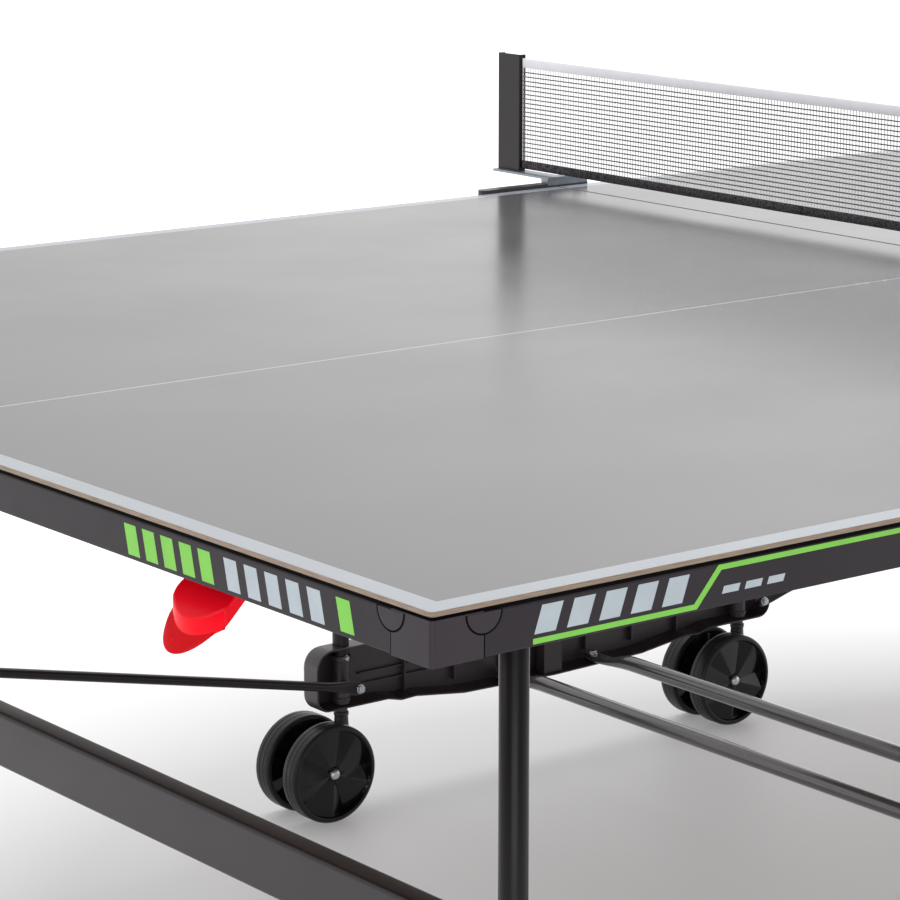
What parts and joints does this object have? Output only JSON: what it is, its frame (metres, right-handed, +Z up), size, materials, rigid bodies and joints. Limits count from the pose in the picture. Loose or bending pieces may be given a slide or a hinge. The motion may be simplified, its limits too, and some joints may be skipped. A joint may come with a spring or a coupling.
{
  "type": "folding ping pong table",
  "caption": "Free-standing folding table for ping pong: two hinged tops, coupled folding legs with link rods, twin-wheel carriage, pull levers and a fixed net.",
  "frame": {"origin": "floor level under the middle of the net, centre of the footprint", "axes": "+X along the playing length towards the right half, +Y across the table towards the far side, +Z up"},
  "size_m": [2.74, 1.756, 0.921],
  "materials": {
    "playing_surface": "satin grey laminate",
    "graphite_paint": "satin powder coat",
    "black_paint": "semi-gloss",
    "silver_paint": "gloss metallic",
    "grey_plastic": "fine moulded grain",
    "black_plastic": "semi-gloss moulded",
    "wheel_plastic": "gloss hub with matte tread",
    "red_plastic": "gloss",
    "zinc": "bright zinc plate",
    "foot_rubber": "matte",
    "net_mesh": "open woven mesh",
    "white_tape": "woven tape",
    "dark_band": "woven band"
  },
  "bodies": {
    "carriage": {"side_beam_near": "black_plastic", "side_beam_far": "black_plastic", "cross_tubes": "silver_paint", "upright_tubes": "graphite_paint", "pivot_pins_and_bolts": "zinc", "caster_sockets": "black_plastic", "net_brackets": "black_paint", "net_posts": "graphite_paint", "net_base_arms": "zinc", "net_sheet": "net_mesh", "net_top_tape": "white_tape", "net_bottom_band": "dark_band"},
    "left_half": {"top_panel_left": "playing_surface", "end_rail_left": "graphite_paint", "side_rails_left": "graphite_paint", "inner_rail_left": "graphite_paint", "stiffening_braces_left": "graphite_paint", "corner_caps_left": "grey_plastic", "fold_brackets_left": "graphite_paint", "leg_hinge_brackets_left": "graphite_paint"},
    "left_legs": {"leg_tubes_left": "graphite_paint", "leg_crossbar_left": "graphite_paint"},
    "left_link": {"link_rods_left": "graphite_paint"},
    "lever_near_left": {"release_lever_near_left": "red_plastic"},
    "foot_near_left": {"levelling_foot_near_left": "foot_rubber"},
    "caster_near_left": {"caster_fork_near_left": "black_plastic"},
    "wheel_near_left_a": {"wheel_near_left_a": "wheel_plastic"},
    "wheel_near_left_b": {"wheel_near_left_b": "wheel_plastic"},
    "brake_left": {"brake_pedal_left": "red_plastic"},
    "lever_far_left": {"release_lever_far_left": "red_plastic"},
    "foot_far_left": {"levelling_foot_far_left": "foot_rubber"},
    "caster_far_left": {"caster_fork_far_left": "black_plastic"},
    "wheel_far_left_a": {"wheel_far_left_a": "wheel_plastic"},
    "wheel_far_left_b": {"wheel_far_left_b": "wheel_plastic"},
    "right_half": {"top_panel_right": "playing_surface", "end_rail_right": "graphite_paint", "side_rails_right": "graphite_paint", "inner_rail_right": "graphite_paint", "stiffening_braces_right": "graphite_paint", "corner_caps_right": "grey_plastic", "fold_brackets_right": "graphite_paint", "leg_hinge_brackets_right": "graphite_paint"},
    "right_legs": {"leg_tubes_right": "graphite_paint", "leg_crossbar_right": "graphite_paint"},
    "right_link": {"link_rods_right": "graphite_paint"},
    "lever_near_right": {"release_lever_near_right": "red_plastic"},
    "foot_near_right": {"levelling_foot_near_right": "foot_rubber"},
    "caster_near_right": {"caster_fork_near_right": "black_plastic"},
    "wheel_near_right_a": {"wheel_near_right_a": "wheel_plastic"},
    "wheel_near_right_b": {"wheel_near_right_b": "wheel_plastic"},
    "brake_right": {"brake_pedal_right": "red_plastic"},
    "lever_far_right": {"release_lever_far_right": "red_plastic"},
    "foot_far_right": {"levelling_foot_far_right": "foot_rubber"},
    "caster_far_right": {"caster_fork_far_right": "black_plastic"},
    "wheel_far_right_a": {"wheel_far_right_a": "wheel_plastic"},
    "wheel_far_right_b": {"wheel_far_right_b": "wheel_plastic"},
    "clamp_near": {"net_clamp_screw_near": "zinc"},
    "clamp_far": {"net_clamp_screw_far": "zinc"}
  },
  "joints": [
    {"name": "left_half_fold", "type": "hinge", "parent": "carriage", "child": "left_half", "pos_m": [-0.332, 0, 0.532], "axis": [0, 1, 0], "range_deg": [0, 90]},
    {"name": "left_legs_fold", "type": "hinge", "parent": "left_half", "child": "left_legs", "pos_m": [-1.249, 0, 0.735], "axis": [0, 1, 0], "range_deg": [-80.1, 0]},
    {"name": "left_link_swing", "type": "hinge", "parent": "carriage", "child": "left_link", "pos_m": [-0.34, 0, 0.168], "axis": [0, 1, 0], "range_deg": [0, 86.9]},
    {"name": "near_left_lever_pull", "type": "hinge", "parent": "left_half", "child": "lever_near_left", "pos_m": [-1.298, -0.4435, 0.736], "axis": [0, 1, 0], "range_deg": [0, 20], "stiffness_Nm_per_rad": 0.6, "springref_deg": -20.05},
    {"name": "near_left_foot_level", "type": "slide", "parent": "left_legs", "child": "foot_near_left", "axis": [0, 0, -1], "range_m": [0, 0.02]},
    {"name": "near_left_caster_swivel", "type": "hinge", "parent": "carriage", "child": "caster_near_left", "pos_m": [-0.335, -0.775, 0.0625], "axis": [0, 0, 1], "continuous": true},
    {"name": "wheel_near_left_a_spin", "type": "hinge", "parent": "caster_near_left", "child": "wheel_near_left_a", "pos_m": [-0.375, -0.804, 0.0625], "axis": [0, 1, 0], "continuous": true},
    {"name": "wheel_near_left_b_spin", "type": "hinge", "parent": "caster_near_left", "child": "wheel_near_left_b", "pos_m": [-0.375, -0.746, 0.0625], "axis": [0, 1, 0], "continuous": true},
    {"name": "left_brake_press", "type": "hinge", "parent": "caster_near_left", "child": "brake_left", "pos_m": [-0.381, -0.775, 0.0985], "axis": [0, -1, 0], "range_deg": [0, 10], "stiffness_Nm_per_rad": 0.2, "springref_deg": -11.46},
    {"name": "far_left_lever_pull", "type": "hinge", "parent": "left_half", "child": "lever_far_left", "pos_m": [-1.298, 0.4435, 0.736], "axis": [0, 1, 0], "range_deg": [0, 20], "stiffness_Nm_per_rad": 0.6, "springref_deg": -20.05},
    {"name": "far_left_foot_level", "type": "slide", "parent": "left_legs", "child": "foot_far_left", "axis": [0, 0, -1], "range_m": [0, 0.02]},
    {"name": "far_left_caster_swivel", "type": "hinge", "parent": "carriage", "child": "caster_far_left", "pos_m": [-0.335, 0.775, 0.0625], "axis": [0, 0, 1], "continuous": true},
    {"name": "wheel_far_left_a_spin", "type": "hinge", "parent": "caster_far_left", "child": "wheel_far_left_a", "pos_m": [-0.375, 0.746, 0.0625], "axis": [0, 1, 0], "continuous": true},
    {"name": "wheel_far_left_b_spin", "type": "hinge", "parent": "caster_far_left", "child": "wheel_far_left_b", "pos_m": [-0.375, 0.804, 0.0625], "axis": [0, 1, 0], "continuous": true},
    {"name": "right_half_fold", "type": "hinge", "parent": "carriage", "child": "right_half", "pos_m": [0.332, 0, 0.532], "axis": [0, -1, 0], "range_deg": [0, 90]},
    {"name": "right_legs_fold", "type": "hinge", "parent": "right_half", "child": "right_legs", "pos_m": [1.249, 0, 0.735], "axis": [0, -1, 0], "range_deg": [-80.1, 0]},
    {"name": "right_link_swing", "type": "hinge", "parent": "carriage", "child": "right_link", "pos_m": [0.34, 0, 0.168], "axis": [0, -1, 0], "range_deg": [0, 86.9]},
    {"name": "near_right_lever_pull", "type": "hinge", "parent": "right_half", "child": "lever_near_right", "pos_m": [1.298, -0.4435, 0.736], "axis": [0, -1, 0], "range_deg": [0, 20], "stiffness_Nm_per_rad": 0.6, "springref_deg": -20.05},
    {"name": "near_right_foot_level", "type": "slide", "parent": "right_legs", "child": "foot_near_right", "axis": [0, 0, -1], "range_m": [0, 0.02]},
    {"name": "near_right_caster_swivel", "type": "hinge", "parent": "carriage", "child": "caster_near_right", "pos_m": [0.335, -0.775, 0.0625], "axis": [0, 0, 1], "continuous": true},
    {"name": "wheel_near_right_a_spin", "type": "hinge", "parent": "caster_near_right", "child": "wheel_near_right_a", "pos_m": [0.295, -0.804, 0.0625], "axis": [0, 1, 0], "continuous": true},
    {"name": "wheel_near_right_b_spin", "type": "hinge", "parent": "caster_near_right", "child": "wheel_near_right_b", "pos_m": [0.295, -0.746, 0.0625], "axis": [0, 1, 0], "continuous": true},
    {"name": "right_brake_press", "type": "hinge", "parent": "caster_near_right", "child": "brake_right", "pos_m": [0.289, -0.775, 0.0985], "axis": [0, -1, 0], "range_deg": [0, 10], "stiffness_Nm_per_rad": 0.2, "springref_deg": -11.46},
    {"name": "far_right_lever_pull", "type": "hinge", "parent": "right_half", "child": "lever_far_right", "pos_m": [1.298, 0.4435, 0.736], "axis": [0, -1, 0], "range_deg": [0, 20], "stiffness_Nm_per_rad": 0.6, "springref_deg": -20.05},
    {"name": "far_right_foot_level", "type": "slide", "parent": "right_legs", "child": "foot_far_right", "axis": [0, 0, -1], "range_m": [0, 0.02]},
    {"name": "far_right_caster_swivel", "type": "hinge", "parent": "carriage", "child": "caster_far_right", "pos_m": [0.335, 0.775, 0.0625], "axis": [0, 0, 1], "continuous": true},
    {"name": "wheel_far_right_a_spin", "type": "hinge", "parent": "caster_far_right", "child": "wheel_far_right_a", "pos_m": [0.295, 0.746, 0.0625], "axis": [0, 1, 0], "continuous": true},
    {"name": "wheel_far_right_b_spin", "type": "hinge", "parent": "caster_far_right", "child": "wheel_far_right_b", "pos_m": [0.295, 0.804, 0.0625], "axis": [0, 1, 0], "continuous": true},
    {"name": "near_clamp_turn", "type": "hinge", "parent": "carriage", "child": "clamp_near", "pos_m": [0.04, -0.773, 0.74], "axis": [0, 0, 1], "range_deg": [0, 360]},
    {"name": "far_clamp_turn", "type": "hinge", "parent": "carriage", "child": "clamp_far", "pos_m": [0.04, 0.773, 0.74], "axis": [0, 0, 1], "range_deg": [0, 360]}
  ],
  "couplings": [
    {"joint": "left_legs_fold", "follows": "left_half_fold", "ratio": -0.8889},
    {"joint": "left_link_swing", "follows": "left_half_fold", "ratio": 0.964},
    {"joint": "right_legs_fold", "follows": "right_half_fold", "ratio": -0.8889},
    {"joint": "right_link_swing", "follows": "right_half_fold", "ratio": 0.964}
  ]
}
